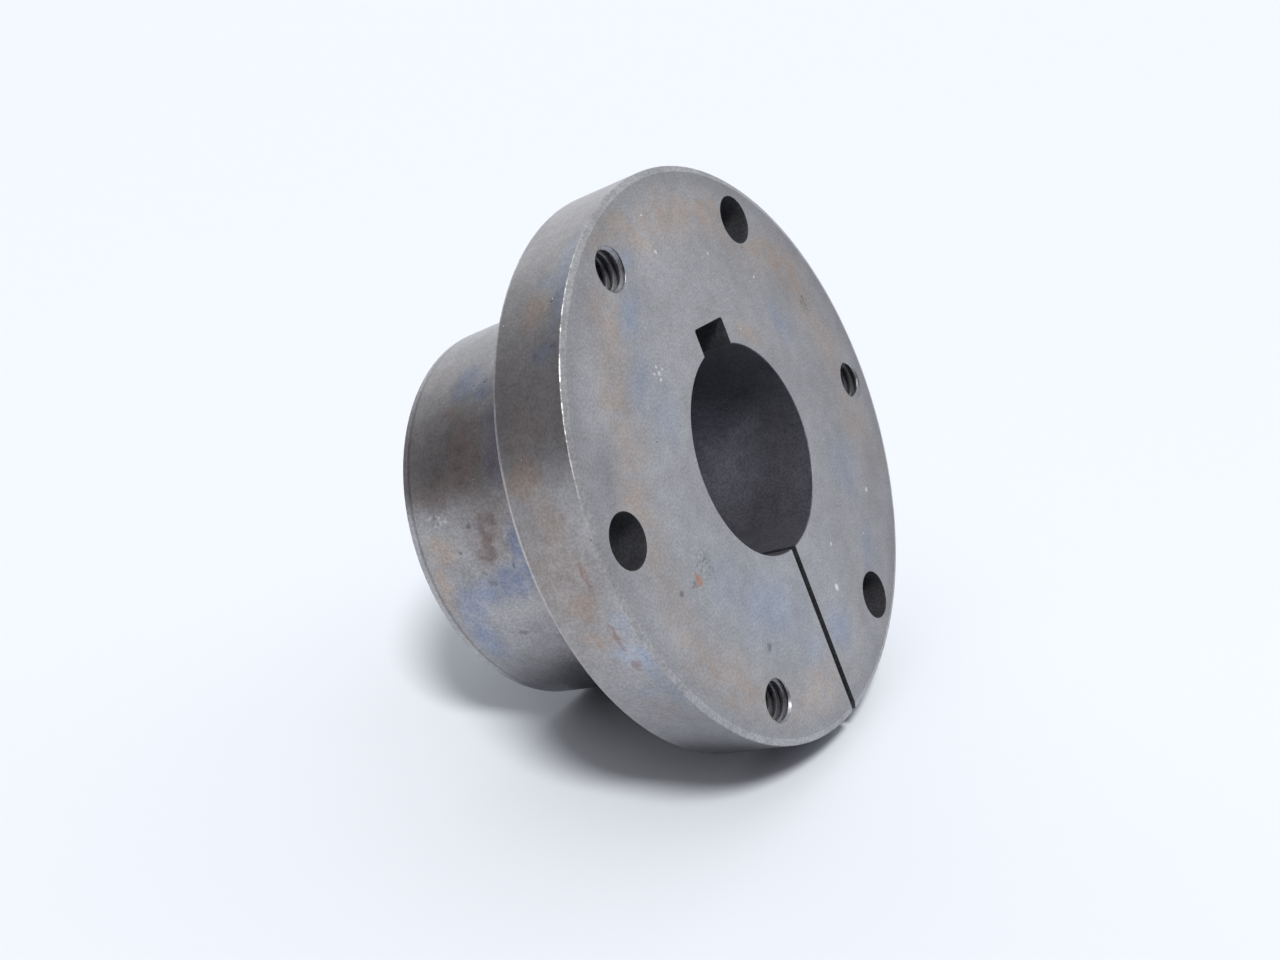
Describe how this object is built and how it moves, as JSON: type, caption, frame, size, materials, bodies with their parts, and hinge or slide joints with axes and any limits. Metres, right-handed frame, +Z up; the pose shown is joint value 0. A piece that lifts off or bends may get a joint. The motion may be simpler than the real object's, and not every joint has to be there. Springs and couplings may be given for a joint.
{
  "type": "split taper bushing",
  "caption": "Flanged split taper bushing with a keyed bore, clearance holes, threaded jack-screw holes and a key set screw.",
  "frame": {"origin": "centre of the bore's mouth, in the plane of the flange's front face", "axes": "+Z up from the level surface that the part lies on, +X across the flange, +Y from the front face towards the barrel. The bore axis lies in the YZ plane and slopes 22.4 degrees down from +Y, because the flange's rim and the barrel's end both touch the surface. The keyway is on top and the split is underneath"},
  "size_m": [0.0984, 0.0768, 0.0958],
  "materials": {
    "bushing_steel": "turned steel, satin, oxidised grey with blue and brown tints and light rust",
    "screw_steel": "black oxide alloy steel, lightly oiled"
  },
  "bodies": {
    "bushing": {"bushing_body": "bushing_steel"},
    "key_screw": {"key_set_screw": "screw_steel"}
  },
  "joints": [
    {"name": "key_screw_travel", "type": "slide", "parent": "bushing", "child": "key_screw", "axis": [0, 0.3811, 0.9245], "range_m": [-0.0046, 0.0136]}
  ]
}
